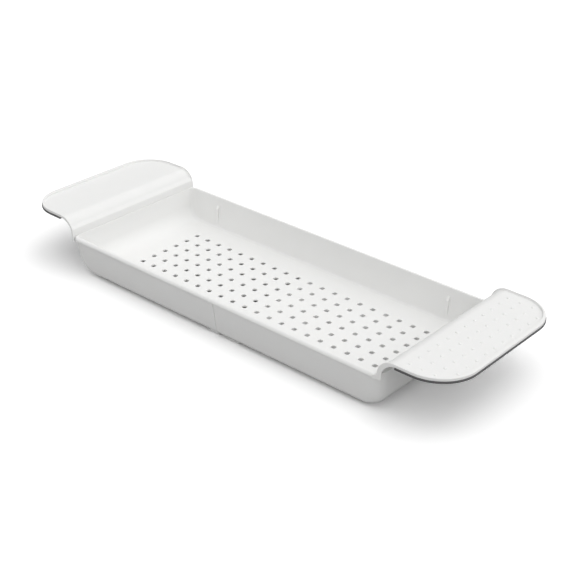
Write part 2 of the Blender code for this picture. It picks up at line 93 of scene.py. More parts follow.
SKIN_TURN = 1.2
HUMP_STEPS = 36
RIM_RISE = 0.0005
RIM_TURN = math.radians(30)
FIELD_DROP = 0.0016
FIELD_BEND = 0.0010
RIM_SIDE = 0.0012
RIM_END = 0.0045
RIGHT_WING_END = 0.2809
RIGHT_WING_SIDE = 0.0921
RIGHT_WING_CORNER = 0.0405
HUMP_FLANGE = 0.0022
HUMP_FLANGE_EXTRA = 0.0030
RIB_LENGTH = 0.0034
RIB_REACH = 0.0032
RIB_HEIGHT = 0.0225
RIB_CHAMFER = 0.0035
RIB_FOOT = 0.0015
RIB_BACK_FOOT = 0.0030
PEG_HOLE_RADIUS = 0.0023
PEG_HOLE_DEPTH = 0.0030
PEG_MIDDLE = 0.02015
PEG_STEP = 0.0050
PEG_SIDE = 0.0745
PEG_PLACES = [(PEG_MIDDLE + end * PEG_STEP, side * PEG_SIDE) for end in (-1, 1) for side in (-1, 1)]
DOT_RADIUS = 0.0016
DOT_HEIGHT = 0.0009
FIRST_DOT = (0.2297, -0.0793)
DOT_PITCH = (0.01347, 0.01442)
DOT_COUNTS = (4, 12)
EDGE_ROUND = 0.0005
SMOOTH_TURN = math.radians(40)

# Reach of the cutters, and limits for telling points and faces apart
PROUD = 0.0010
FAR_OUT = 0.0100
SAME_PLACE = 1e-6
SAME_POINT = 0.00001
MERGE_REACH = 0.00003
LEAST_STEP = 0.00006
NEARLY_UPRIGHT = 0.03
FLAT_TURN = math.radians(0.4)
LEAST_TURN = math.radians(34)


def pick(item):
    """Make a piece the only one selected, and the one that the next operators work on."""
    bpy.ops.object.select_all(action="DESELECT")
    item.select_set(True)
    bpy.context.view_layer.objects.active = item


def select_points(item, wanted):
    """In edit mode, select exactly the points whose place passes the test."""
    drawn = bmesh.from_edit_mesh(item.data)
    for point in drawn.verts:
        point.select_set(False)
    drawn.select_flush(False)
    for point in drawn.verts:
        if wanted(point.co):
            point.select_set(True)
    drawn.select_flush(True)
    bmesh.update_edit_mesh(item.data)


def wall_place(half, lean, bend, floor, height):
    """How far out a leaning wall stands at a height, with a bend of that radius at its foot."""
    if height >= floor + bend * (1 - math.sin(lean)):
        return half + height * math.tan(lean)
    centre = half + (floor + bend) * math.tan(lean) - bend / math.cos(lean)
    return centre + math.sqrt(max(bend ** 2 - (floor + bend - height) ** 2, 0.0))


def ring_heights(floor, top, bends):
    """Heights of the rings of a tub: close together up the bends, then straight to the top."""
    heights = {floor, top}
    for bend, lean, steps in bends:
        turn = math.pi / 2 - lean
        heights.update(floor + bend * (1 - math.cos(turn * step / steps)) for step in range(1, steps + 1))
    kept = []
    for height in sorted(heights):
        if not kept or height - kept[-1] > LEAST_STEP:
            kept.append(height)
    return kept


def square_up(item, low, high):
    """Set the corners of a plane or block to the last digit, so that faces meant to meet lie in one plane."""
    for point in item.data.vertices:
        point.co = [a if abs(place - a) < abs(place - b) else b for place, a, b in zip(point.co, low, high)]


def draw_up(name, rings, corner_right, corner_left):
    """Tub-shaped solid: a plane with round corners drawn up ring by ring, each side moved by itself."""
    height, right, left, side = rings[0]
    middle = (right + left) / 2
    bpy.ops.object.select_all(action="DESELECT")
    bpy.ops.mesh.primitive_plane_add(size=1, location=(middle, 0, height))
    item = bpy.context.object
    item.name = name
    item.scale = (right - left, 2 * side, 1)
    bpy.ops.object.transform_apply(location=True, rotation=True, scale=True)
    square_up(item, (left, -side, height), (right, side, height))
    bpy.ops.object.mode_set(mode="EDIT")
    bpy.ops.mesh.select_mode(type="VERT")
    for corner, at_right in ((corner_right, True), (corner_left, False)):
        if corner > 0:
            select_points(item, lambda place: (place.x > middle) == at_right)
            bpy.ops.mesh.bevel(offset=corner, segments=CORNER_STEPS, affect="VERTICES")
    for low, high in zip(rings, rings[1:]):
        select_points(item, lambda place: abs(place.z - low[0]) < SAME_PLACE)
        bpy.ops.mesh.extrude_region_move(TRANSFORM_OT_translate={"value": (0, 0, high[0] - low[0])})
        for point in bmesh.from_edit_mesh(item.data).verts:
            if point.select:
                point.co.z = high[0]
        moves = (
            (lambda place: place.x > middle, (high[1] - low[1], 0, 0)),
            (lambda place: place.x < middle, (high[2] - low[2], 0, 0)),
            (lambda place: place.y > 0, (0, high[3] - low[3], 0)),
            (lambda place: place.y < 0, (0, low[3] - high[3], 0)),
        )
        for test, move in moves:
            select_points(item, lambda place: abs(place.z - high[0]) < SAME_PLACE and test(place))
            bpy.ops.transform.translate(value=move)
    bpy.ops.mesh.select_all(action="SELECT")
    bpy.ops.mesh.normals_make_consistent(inside=False)
    bpy.ops.object.mode_set(mode="OBJECT")
    return item


def tub(name, floor, top, right, left, side, end_bend, side_bend, corner, flat=()):
    """Solid with bent ends and sides. An end that is named flat stands upright at its place."""
    rings = []
    for height in ring_heights(floor, top, [(side_bend, SIDE_LEAN, SIDE_BEND_STEPS),
                                           (end_bend, END_LEAN, END_BEND_STEPS)]):
        right_place = wall_place(right, END_LEAN, end_bend, floor, height)
        left_place = -wall_place(-left, END_LEAN, end_bend, floor, height)
        rings.append((height, right if "right" in flat else right_place,
                      left if "left" in flat else left_place,
                      wall_place(side, SIDE_LEAN, side_bend, floor, height)))
    return draw_up(name, rings, 0 if "right" in flat else corner, 0 if "left" in flat else corner)


def bar(name, low, high):
    """Square-edged block between two corners."""
    bpy.ops.object.select_all(action="DESELECT")
    bpy.ops.mesh.primitive_cube_add(size=1, location=[(a + b) / 2 for a, b in zip(low, high)])
    item = bpy.context.object
    item.name = name
    item.scale = [b - a for a, b in zip(low, high)]
    bpy.ops.object.transform_apply(location=True, rotation=True, scale=True)
    square_up(item, low, high)
    return item


def pushed_outline(name, points, push):
    """Solid whose flat outline is filled as one face and extruded by the push."""
    mesh = bpy.data.meshes.new(name)
    mesh.from_pydata(points, [], [range(len(points))])
    item = bpy.data.objects.new(name, mesh)
    bpy.context.collection.objects.link(item)
    pick(item)
    bpy.ops.object.mode_set(mode="EDIT")
    bpy.ops.mesh.select_all(action="SELECT")
    bpy.ops.mesh.extrude_region_move(TRANSFORM_OT_translate={"value": push})
    bpy.ops.mesh.select_all(action="SELECT")
    bpy.ops.mesh.normals_make_consistent(inside=False)
    bpy.ops.object.mode_set(mode="OBJECT")
    return item


def combine(item, tool, operation):
    """Join, cut or trim a piece with a tool solid and throw the tool away."""
    step = item.modifiers.new(operation, "BOOLEAN")
    step.operation = operation
    step.solver = "EXACT"
    step.object = tool
    pick(item)
    bpy.ops.object.modifier_apply(modifier=step.name)
    bpy.data.objects.remove(tool, do_unlink=True)


def repeat(item, count, move):
    """Row of copies of a piece, each moved on from the one before."""
    step = item.modifiers.new("repeat", "ARRAY")
    step.count = count
    step.use_relative_offset = False
    step.use_constant_offset = True
    step.constant_offset_displace = move
    pick(item)
    bpy.ops.object.modifier_apply(modifier=step.name)


def round_edges(item, width, segments, wanted):
    """Round off exactly the edges that pass the test."""
    pick(item)
    bpy.ops.object.mode_set(mode="EDIT")
    bpy.ops.mesh.select_mode(type="EDGE")
    drawn = bmesh.from_edit_mesh(item.data)
    drawn.normal_update()
    for edge in drawn.edges:
        edge.select_set(wanted(edge))
    bmesh.update_edit_mesh(item.data)
    bpy.ops.mesh.bevel(offset=width, segments=segments, affect="EDGES")
    bpy.ops.mesh.select_mode(type="VERT")
    bpy.ops.object.mode_set(mode="OBJECT")


def bow(centre_x, centre_z, radius, start, stop, steps):
    """Places along an arc in the upright plane of the caddy."""
    turns = [start + (stop - start) * step / steps for step in range(steps + 1)]
    return [(centre_x + radius * math.cos(turn), centre_z + radius * math.sin(turn)) for turn in turns]


def end_place(end, height):
    """Place of a leaning end wall's face at a height."""
    return end + height * math.tan(END_LEAN)


def hump_middle(end):
    """Middle of the arc that carries an end wall's face over into the wing."""
    height = WING_TOP - HUMP_RADIUS
    touch = height + HUMP_RADIUS * math.sin(END_LEAN)
    return end_place(end, touch) + HUMP_RADIUS * math.cos(END_LEAN), height


def upright(points, way, side):
    """Turns places along and up into corners on the near face of a slab of that half width."""
    return [(way * x, -side, z) for x, z in points]


def hump_bow(end, first_push, push, turn=1.0):
    """Arc over the hump. Its distance from the end wall's face goes from one value to another over a turn."""
    middle, height = hump_middle(end)
    first = math.pi - END_LEAN
    points = []
    for step in range(HUMP_STEPS + 1):
        angle = first + (math.pi / 2 - first) * step / HUMP_STEPS
        share = min((first - angle) / turn, 1.0)
        reach = HUMP_RADIUS + first_push + (push - first_push) * share * share * (3 - 2 * share)
        points.append((middle + reach * math.cos(angle), height + reach * math.sin(angle)))
    return points


def hump_sheet(name, end, wing_end, root, side, way):
    """Bent sheet of an end: up from the wall, over the hump and out as the wing, its face left proud."""
    far = wing_end + FAR_OUT
    outer = [(end_place(end, root) - PROUD, root)] + hump_bow(end, PROUD, PROUD)
    inner = [(end_place(end, root) + SHEET_SKIN, root)] + hump_bow(end, -SHEET_SKIN, -WING_SKIN, SKIN_TURN)
    points = outer + [(far, WING_TOP + PROUD), (far, WING_UNDER)] + inner[::-1]
    return pushed_outline(name, upright(points, way, side), (0, 2 * side, 0))


def room_above(name, end, floor, foot, start, way):
    """Room over the tray that trims the lip's top, the hump and the rim along the wing."""
    points = [(start, floor)]
    if foot > 0:
        points += bow(end_place(end, floor) - foot, floor + foot, foot, -math.pi / 2, -END_LEAN, 8)
    else:
        points.append((end_place(end, floor), floor))
    points += hump_bow(end, 0, RIM_RISE, RIM_TURN)
    far = RIGHT_WING_END + 3 * FAR_OUT
    points += [(far, WING_TOP + RIM_RISE), (far, WING_TOP + 3 * FAR_OUT), (start, WING_TOP + 3 * FAR_OUT)]
    side = LIP_SIDE + FAR_OUT
    return pushed_outline(name, upright(points, way, side), (0, 2 * side, 0))


def plan_room(name, start, root, wing_end, root_side, side, corner, way):
    """Upright prism over the plan of a wing, a little narrower at its round corners than at its root."""
    points = [(start, -root_side), (root, -root_side)]
    points += bow(wing_end - corner, -side + corner, corner, -math.pi / 2, 0, 30)
    points += [(x, -y) for x, y in points[::-1]]
    return pushed_outline(name, [(way * x, y, -2 * FAR_OUT) for x, y in points],
                          (0, 0, WING_TOP + 4 * FAR_OUT))


def sunk_field(name, end, wing_end, root_side, side, corner, way):
    """Cutter that sinks the face of a hump and its wing inside the rim, with a rounded foot all round."""
    points = hump_bow(end, 2 * RIM_RISE, -FIELD_DROP, RIM_TURN)
    far = wing_end + FAR_OUT
    points += [(far, WING_TOP - FIELD_DROP), (far, WING_TOP + FAR_OUT), (points[0][0], WING_TOP + FAR_OUT)]
    reach = LIP_SIDE + FAR_OUT
    item = pushed_outline(name, upright(points, way, reach), (0, 2 * reach, 0))
    root = end_place(end, BASIN_RISE)
    combine(item, plan_room("field_plan", root - FAR_OUT, root, wing_end - RIM_END, root_side - RIM_SIDE,
                            side - RIM_SIDE, corner - RIM_END, way), "INTERSECT")

    def at_foot(edge):
        lows = [face.normal.z < -NEARLY_UPRIGHT for face in edge.link_faces]
        walls = [abs(face.normal.z) < NEARLY_UPRIGHT and face.normal.x * way > -0.5
                 for face in edge.link_faces]
        return any(lows) and any(walls)

    round_edges(item, FIELD_BEND, 4, at_foot)
    return item


def soften(item, width, sharp_place=None):
    """Round off the sharp outward edges of a piece, apart from those that lie at the sharp place along X."""
    pick(item)
    bpy.ops.object.mode_set(mode="EDIT")
    bpy.ops.mesh.select_all(action="SELECT")
    bpy.ops.mesh.remove_doubles(threshold=MERGE_REACH)
    bpy.ops.mesh.dissolve_limited(angle_limit=FLAT_TURN)
    bpy.ops.mesh.select_all(action="DESELECT")
    bpy.ops.mesh.select_mode(type="EDGE")
    drawn = bmesh.from_edit_mesh(item.data)
    for edge in drawn.edges:
        left_sharp = sharp_place is not None and all(
            abs(point.co.x - sharp_place) < SAME_PLACE for point in edge.verts)
        if edge.is_convex and edge.calc_face_angle(0) > LEAST_TURN and not left_sharp:
            edge.select_set(True)
    bmesh.update_edit_mesh(item.data)
    bpy.ops.mesh.bevel(offset=width, segments=3, affect="EDGES", clamp_overlap=False, miter_outer="ARC")
    bpy.ops.mesh.select_mode(type="VERT")
    bpy.ops.object.mode_set(mode="OBJECT")
    step = item.modifiers.new("split_faces", "TRIANGULATE")
    step.min_vertices = 5
    bpy.ops.object.modifier_apply(modifier=step.name)


def drain_holes(floor, bottom, flare, first_column=0, columns=HOLE_COLUMNS):
    """Cutter for drain holes: one rounded square prism, repeated along the rows and the columns."""
    first = ((first_column - (HOLE_COLUMNS - 1) / 2) * HOLE_PITCH, -(HOLE_ROWS - 1) / 2 * HOLE_PITCH)
    bpy.ops.object.select_all(action="DESELECT")
    bpy.ops.mesh.primitive_plane_add(size=2 * HOLE_HALF, location=(*first, bottom))
    item = bpy.context.object
    bpy.ops.object.transform_apply(location=True, rotation=True, scale=True)
    bpy.ops.object.mode_set(mode="EDIT")
    bpy.ops.mesh.select_mode(type="VERT")
    bpy.ops.mesh.select_all(action="SELECT")
    bpy.ops.mesh.bevel(offset=HOLE_CORNER, segments=4, affect="VERTICES")
    height, half = bottom, HOLE_HALF
    rings = [(floor - flare, 0)]
    rings += [(floor - flare * (1 - math.sin(turn)), flare * (1 - math.cos(turn)))
              for turn in (math.radians(30), math.radians(55), math.radians(75))]
    rings.append((floor + flare / 4, flare * 1.15))
    for level, out in rings:
        select_points(item, lambda place: abs(place.z - height) < SAME_PLACE)
        bpy.ops.mesh.extrude_region_move(TRANSFORM_OT_translate={"value": (0, 0, level - height)})
        size = (HOLE_HALF + out) / half
        bpy.ops.transform.resize(value=(size, size, 1), center_override=(*first, level))
        height, half = level, HOLE_HALF + out
    bpy.ops.mesh.select_all(action="SELECT")
    bpy.ops.mesh.normals_make_consistent(inside=False)
    bpy.ops.object.mode_set(mode="OBJECT")
    repeat(item, columns, (HOLE_PITCH, 0, 0))
    repeat(item, HOLE_ROWS, (0, HOLE_PITCH, 0))
    return item


def add_pegs(item, radius, length, middle, operation):
    """Add a round peg at each of the pegs' places, or cut its hole."""
    for x, y in PEG_PLACES:
        bpy.ops.object.select_all(action="DESELECT")
        bpy.ops.mesh.primitive_cylinder_add(vertices=32, radius=radius, depth=length, location=(x, y, middle))
        combine(item, bpy.context.object, operation)


def moulded_face_group():
    """Node group for the face of a moulded piece: fine spark-eroded grain and a slow mottle over it."""
    group = bpy.data.node_groups.new("moulded_face", "ShaderNodeTree")
    for name, kind, start in (("Coordinates", "NodeSocketVector", None),
                              ("Grain size", "NodeSocketFloat", 0.0005),
                              ("Mottle size", "NodeSocketFloat", 0.02)):
        socket = group.interface.new_socket(name=name, in_out="INPUT", socket_type=kind)
        if start is not None:
            socket.default_value = start
    for name in ("Grain", "Mottle", "Scuffs"):
        group.interface.new_socket(name=name, in_out="OUTPUT", socket_type="NodeSocketFloat")
    nodes, links = group.nodes, group.links
    entry = nodes.new("NodeGroupInput")
    leave = nodes.new("NodeGroupOutput")

    def noise(size_socket, share, detail, rough):
        scale = nodes.new("ShaderNodeMath")
        scale.operation = "DIVIDE"
        scale.inputs[0].default_value = share
        links.new(entry.outputs[size_socket], scale.inputs[1])
        pattern = nodes.new("ShaderNodeTexNoise")
        pattern.inputs["Detail"].default_value = detail
        pattern.inputs["Roughness"].default_value = rough
        links.new(entry.outputs["Coordinates"], pattern.inputs["Vector"])
        links.new(scale.outputs[0], pattern.inputs["Scale"])
        return pattern.outputs["Fac"]

    links.new(noise("Grain size", 1.0, 2.0, 0.55), leave.inputs["Grain"])
    links.new(noise("Mottle size", 1.0, 3.0, 0.5), leave.inputs["Mottle"])
    scratches = nodes.new("ShaderNodeMapRange")
    scratches.inputs["From Min"].default_value = 0.62
    scratches.inputs["From Max"].default_value = 0.74
    links.new(noise("Mottle size", 6.0, 6.0, 0.7), scratches.inputs["Value"])
    links.new(scratches.outputs["Result"], leave.inputs["Scuffs"])
    return group


moulded_face = moulded_face_group()


def moulded_material(name, colour, shade, grain, depth, rough_low, rough_high, sheen, depth_glow):
    """Satin or matt moulding: its colour drifts a little to a shade, and its grain breaks up the gloss."""
    material = bpy.data.materials.new(name)
    material.use_nodes = True
    nodes, links = material.node_tree.nodes, material.node_tree.links
    shader = nodes["Principled BSDF"]
    places = nodes.new("ShaderNodeTexCoord")
    face = nodes.new("ShaderNodeGroup")
    face.node_tree = moulded_face
    face.inputs["Grain size"].default_value = grain
    links.new(places.outputs["Object"], face.inputs["Coordinates"])
    blend = nodes.new("ShaderNodeMix")
    blend.data_type = "RGBA"
    blend.inputs["A"].default_value = (*colour, 1)
    blend.inputs["B"].default_value = (*shade, 1)
    links.new(face.outputs["Mottle"], blend.inputs["Factor"])
    links.new(blend.outputs["Result"], shader.inputs["Base Color"])
    gloss = nodes.new("ShaderNodeMapRange")
    gloss.inputs["To Min"].default_value = rough_low
    gloss.inputs["To Max"].default_value = rough_high
    wear = nodes.new("ShaderNodeMath")
    wear.operation = "MULTIPLY_ADD"
    wear.inputs[1].default_value = 0.4
    links.new(face.outputs["Scuffs"], wear.inputs[0])
    links.new(face.outputs["Mottle"], wear.inputs[2])
    links.new(wear.outputs[0], gloss.inputs["Value"])
    links.new(gloss.outputs["Result"], shader.inputs["Roughness"])
    bump = nodes.new("ShaderNodeBump")
    bump.inputs["Strength"].default_value = 1.0
    bump.inputs["Distance"].default_value = depth
    links.new(face.outputs["Grain"], bump.inputs["Height"])
    links.new(bump.outputs["Normal"], shader.inputs["Normal"])
    shader.inputs["Specular IOR Level"].default_value = sheen
    shader.inputs["Subsurface Weight"].default_value = depth_glow
    shader.inputs["Subsurface Radius"].default_value = (1.0, 0.97, 0.90)
    shader.inputs["Subsurface Scale"].default_value = 0.0025
    return material


WHITE = (0.868, 0.868, 0.858)
WHITE_SHADE = (0.850, 0.850, 0.838)
white_plastic = moulded_material("white_satin_polypropylene", WHITE, WHITE_SHADE, grain=0.0006,
                                 depth=0.000012, rough_low=0.42, rough_high=0.58, sheen=0.40,
                                 depth_glow=0.12)


def settle(item, name, body, node, material):
    """Move a finished piece to its place in the frame, give it its finish and tie it to its body."""
    pick(item)
    item.name = name
    item.location = (MIDDLE_X, 0, FLOOR_Z)
    bpy.ops.object.transform_apply(location=True, rotation=True, scale=True)
    bpy.ops.object.mode_set(mode="EDIT")
    bpy.ops.mesh.select_all(action="SELECT")
    bpy.ops.mesh.remove_doubles(threshold=SAME_POINT)
    bpy.ops.object.mode_set(mode="OBJECT")
    bpy.ops.object.shade_smooth_by_angle(angle=SMOOTH_TURN)
    step = item.modifiers.new("even_shading", "WEIGHTED_NORMAL")
    step.keep_sharp = True
    bpy.ops.object.modifier_apply(modifier=step.name)
    item.data.materials.clear()
    item.data.materials.append(material)
    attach(item, body)
    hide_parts(node)


left_rim = end_place(BASIN_END + BASIN_SKIN, LIP_UNDER)
tray = tub("main_tray_shell", SLEEVE_UNDER, WING_TOP - HUMP_RADIUS, SLEEVE_END, SLEEVE_START, SLEEVE_SIDE,
           SLEEVE_END_BEND, SLEEVE_SIDE_BEND, SLEEVE_CORNER, flat=("left",))
combine(tray, bar("rim", (-left_rim, -LIP_SIDE - PROUD, LIP_UNDER),
                  (end_place(BASIN_END, BASIN_RISE), LIP_SIDE + PROUD, BASIN_RISE + PROUD)), "UNION")
combine(tray, tub("pocket", SLEEVE_INSIDE, POCKET_TOP, SLEEVE_END - SLEEVE_SKIN, -left_rim - FAR_OUT,
                  SLEEVE_SIDE - SLEEVE_SKIN, SLEEVE_END_BEND - SLEEVE_SKIN,
                  SLEEVE_SIDE_BEND - SLEEVE_SKIN, SLEEVE_CORNER - SLEEVE_SKIN, flat=("left",)),
        "DIFFERENCE")
combine(tray, bar("end_pocket", (BASIN_END, -BASIN_SIDE, LIP_UNDER),
                  (end_place(SLEEVE_END - 2 * SLEEVE_SKIN, LIP_UNDER), BASIN_SIDE, WING_TOP - HUMP_RADIUS)),
        "DIFFERENCE")
combine(tray, tub("basin_outside", -BASIN_FLOOR, BASIN_RISE + 2 * PROUD, BASIN_END + BASIN_SKIN,
                  -BASIN_END - BASIN_SKIN, BASIN_SIDE + BASIN_SKIN, BASIN_END_BEND + BASIN_SKIN,
                  BASIN_SIDE_BEND + BASIN_SKIN, BASIN_CORNER + BASIN_SKIN), "UNION")
combine(tray, hump_sheet("right_sheet", BASIN_END, RIGHT_WING_END, LIP_UNDER + PROUD,
                         LIP_SIDE + 2 * PROUD, 1), "UNION")
for way in (-1, 1):
    outer = hump_bow(BASIN_END, PROUD / 2, PROUD / 2)
    inner = [(x + HUMP_FLANGE_EXTRA, z) for x, z in hump_bow(BASIN_END, -SHEET_SKIN, -WING_SKIN, SKIN_TURN)]
    outline = [(outer[0][0], LIP_UNDER + PROUD)] + outer + inner[::-1] + [(inner[0][0], LIP_UNDER + PROUD)]
    face = way * (LIP_SIDE - HUMP_FLANGE)
    combine(tray, pushed_outline("flange", [(x, face, z) for x, z in outline],
                                 (0, way * (HUMP_FLANGE + 4 * PROUD), 0)), "UNION")
combine(tray, tub("basin_room", 0, BASIN_RISE + 6 * PROUD, BASIN_END, -BASIN_END, BASIN_SIDE,
                  BASIN_END_BEND, BASIN_SIDE_BEND, BASIN_CORNER), "DIFFERENCE")
combine(tray, room_above("main_room_above", BASIN_END, BASIN_RISE, LIP_FOOT, -left_rim - 2 * FAR_OUT, 1),
        "DIFFERENCE")
right_root = end_place(BASIN_END, BASIN_RISE)
plan = plan_room("main_plan", LIP_ROUND_END, right_root, RIGHT_WING_END, LIP_SIDE, RIGHT_WING_SIDE,
                 RIGHT_WING_CORNER, 1)
lip_turns = [math.pi / 2 * step / 7 for step in range(8)]
lip_low = BASIN_RISE + PROUD / 20 - LIP_ROUND
lip_rings = [(-2 * FAR_OUT, LIP_ROUND_END + PROUD, -left_rim - 2 * PROUD, LIP_SIDE - LIP_UNDERCUT),
             (LIP_UNDER, LIP_ROUND_END + PROUD, -left_rim - 2 * PROUD, LIP_SIDE - LIP_UNDERCUT)]
lip_rings += [(lip_low + LIP_ROUND * math.sin(turn), LIP_ROUND_END + PROUD, -left_rim - 2 * PROUD,
               LIP_SIDE - LIP_ROUND * (1 - math.cos(turn))) for turn in lip_turns]
lip_rings.append((WING_TOP, LIP_ROUND_END + PROUD, -left_rim - 2 * PROUD, LIP_SIDE - LIP_ROUND))
combine(plan, draw_up("lip_form", lip_rings, 0, LIP_CORNER), "UNION")
combine(tray, plan, "INTERSECT")
combine(tray, sunk_field("right_field", BASIN_END, RIGHT_WING_END, LIP_SIDE, RIGHT_WING_SIDE,
                         RIGHT_WING_CORNER, 1), "DIFFERENCE")
combine(tray, bar("sleeve_window", (SLEEVE_START - FAR_OUT, -WINDOW_SIDE, SLEEVE_UNDER - FAR_OUT),
                  (SLEEVE_END - WINDOW_MARGIN, WINDOW_SIDE, SLEEVE_INSIDE + RUNNING_GAP)), "DIFFERENCE")
side_slope = math.tan(SIDE_LEAN)
for end in (-1, 1):
    for way in (-1, 1):
        start = end * (HOLE_COLUMNS - 1) / 2 * HOLE_PITCH - RIB_LENGTH / 2
        front = BASIN_SIDE + RIB_HEIGHT * side_slope - RIB_REACH
        back = BASIN_SIDE + BASIN_SKIN / 2
        rise = RIB_HEIGHT + RIB_CHAMFER
        outline = [(front, RIB_FOOT), (front, RIB_HEIGHT), (front + RIB_CHAMFER, rise),
                   (back + rise * side_slope, rise), (back + RIB_BACK_FOOT * side_slope, RIB_BACK_FOOT)]
        combine(tray, pushed_outline("rib", [(start, way * y, z) for y, z in outline],
                                     (RIB_LENGTH, 0, 0)), "UNION")
soften(tray, EDGE_ROUND, LIP_ROUND_END)
combine(tray, drain_holes(0, SLEEVE_UNDER - FAR_OUT, HOLE_FLARE), "DIFFERENCE")
add_pegs(tray, PEG_HOLE_RADIUS, PEG_HOLE_DEPTH, (SLEEVE_UNDER + SLEEVE_INSIDE) / 2, "DIFFERENCE")
bpy.ops.object.select_all(action="DESELECT")
bpy.ops.mesh.primitive_uv_sphere_add(segments=14, ring_count=8, radius=DOT_RADIUS,
                                     location=(*FIRST_DOT, WING_TOP - FIELD_DROP))
dots = bpy.context.object
dots.name = "wing_dots"
dots.scale = (1, 1, DOT_HEIGHT / DOT_RADIUS)
bpy.ops.object.transform_apply(location=True, rotation=True, scale=True)
repeat(dots, DOT_COUNTS[0], (DOT_PITCH[0], 0, 0))
repeat(dots, DOT_COUNTS[1], (0, DOT_PITCH[1], 0))
bpy.ops.object.mode_set(mode="EDIT")
last_column = FIRST_DOT[0] + (DOT_COUNTS[0] - 1) * DOT_PITCH[0] - 2 * DOT_RADIUS
select_points(dots, lambda place: place.x > last_column and abs(place.y) > -FIRST_DOT[1] - 2 * DOT_RADIUS)
bpy.ops.mesh.delete(type="VERT")
bpy.ops.object.mode_set(mode="OBJECT")
combine(tray, dots, "UNION")
settle(tray, "main_tray_moulding", "main", "main_tray", white_plastic)

# Sliding tray: one injection moulding of the same white polypropylene. Its shell lies round and under
# the basin's left half, its tongue runs in the main tray's sleeve, and its end wall carries the left
# hump and wing.
TONGUE_UNDER = -0.0041
TONGUE_FLOOR = -0.0023
TONGUE_TOP = 0.0330
TONGUE_END = 0.1880
TONGUE_SIDE = 0.0847
TONGUE_SKIN = 0.0012
TONGUE_SIDE_BEND = 0.0057
TRAY_TOP = 0.0305
TRAY_END_INSIDE = 0.2010
TRAY_END_SKIN = 0.0016
TRAY_SHOULDER = 0.0022
TRAY_INSIDE_SIDE = 0.0850
TRAY_INSIDE_SIDE_BEND = 0.0060
TRAY_INSIDE_END_BEND = 0.0205
TRAY_CORNER = 0.0078
WEB = 0.0015
LEFT_ROOT_SIDE = 0.0910
LEFT_WING_END = 0.2787
LEFT_WING_SIDE = 0.0906
LEFT_WING_CORNER = 0.0375
TRAY_EDGE_ROUND = 0.0004
TRAY_HOLE_FLARE = 0.00035
CATCH_SIDE = 0.0600
CATCH_LENGTH = 0.0030
CATCH_DEPTH = 0.0016
ROOT_DEPTH = 0.0009
FOOT_SIDE = 0.0820
FOOT_END = 0.0018
FOOT_LENGTH = 0.0140
FOOT_UNDER = -0.0087
FOOT_CORNER = 0.0020


def foot_bar(name, start, end, side, under, top):
    """Flat bar across the caddy with round corners in plan."""
    item = bar(name, (start, -side, under), (end, side, top))
    round_edges(item, FOOT_CORNER, 6, lambda edge: abs(edge.verts[0].co.z - edge.verts[1].co.z) > SAME_PLACE)
    return item


slider = tub("sliding_shell", SLEEVE_UNDER, TRAY_TOP, TRAY_SHOULDER, -TRAY_END_INSIDE - TRAY_END_SKIN,
             SLEEVE_SIDE, TRAY_INSIDE_END_BEND + TRAY_END_SKIN, SLEEVE_SIDE_BEND,
             TRAY_CORNER + TONGUE_SKIN, flat=("right",))
combine(slider, tub("tongue", TONGUE_UNDER, TONGUE_TOP, TONGUE_END, TRAY_SHOULDER - WEB, TONGUE_SIDE,
                    0, TONGUE_SIDE_BEND, 0, flat=("left", "right")), "UNION")
combine(slider, hump_sheet("left_sheet", TRAY_END_INSIDE, LEFT_WING_END, LIP_UNDER - 1.6 * PROUD,
                           LIP_SIDE + 2 * PROUD, -1), "UNION")
combine(slider, room_above("sliding_room_above", TRAY_END_INSIDE, TRAY_TOP, 0,
                           TRAY_END_INSIDE - 2 * FAR_OUT, -1), "DIFFERENCE")
combine(slider, tub("shell_room", TONGUE_UNDER, TRAY_TOP, TRAY_SHOULDER - WEB, -TRAY_END_INSIDE,
                    TRAY_INSIDE_SIDE, TRAY_INSIDE_END_BEND, TRAY_INSIDE_SIDE_BEND, TRAY_CORNER,
                    flat=("right",)), "DIFFERENCE")
combine(slider, tub("tongue_room", TONGUE_FLOOR, TONGUE_TOP + 2 * PROUD, TONGUE_END + FAR_OUT,
                    TRAY_SHOULDER - FAR_OUT, TONGUE_SIDE - TONGUE_SKIN, 0,
                    TONGUE_SIDE_BEND - TONGUE_SKIN, 0, flat=("left", "right")), "DIFFERENCE")
left_root = end_place(TRAY_END_INSIDE, BASIN_RISE)
combine(slider, plan_room("sliding_plan", -TONGUE_END - FAR_OUT, left_root, LEFT_WING_END, LEFT_ROOT_SIDE,
                          LEFT_WING_SIDE, LEFT_WING_CORNER, -1), "INTERSECT")
combine(slider, sunk_field("left_field", TRAY_END_INSIDE, LEFT_WING_END, LEFT_ROOT_SIDE, LEFT_WING_SIDE,
                           LEFT_WING_CORNER, -1), "DIFFERENCE")
combine(slider, bar("catch", (TONGUE_END - CATCH_LENGTH, -CATCH_SIDE, TONGUE_UNDER - CATCH_DEPTH),
                    (TONGUE_END, CATCH_SIDE, TONGUE_UNDER + ROOT_DEPTH)), "UNION")
soften(slider, TRAY_EDGE_ROUND)
foot = foot_bar("foot", FOOT_END - FOOT_LENGTH, FOOT_END, FOOT_SIDE, FOOT_UNDER, SLEEVE_UNDER + ROOT_DEPTH)
soften(foot, TRAY_EDGE_ROUND)
combine(slider, foot, "UNION")
for floor, first_column in ((TONGUE_UNDER, 0), (TONGUE_FLOOR, HOLE_COLUMNS // 2)):
    combine(slider, drain_holes(floor, SLEEVE_UNDER - FAR_OUT, TRAY_HOLE_FLARE, first_column,
                                HOLE_COLUMNS // 2), "DIFFERENCE")
settle(slider, "sliding_tray_moulding", "slider", "sliding_tray", white_plastic)

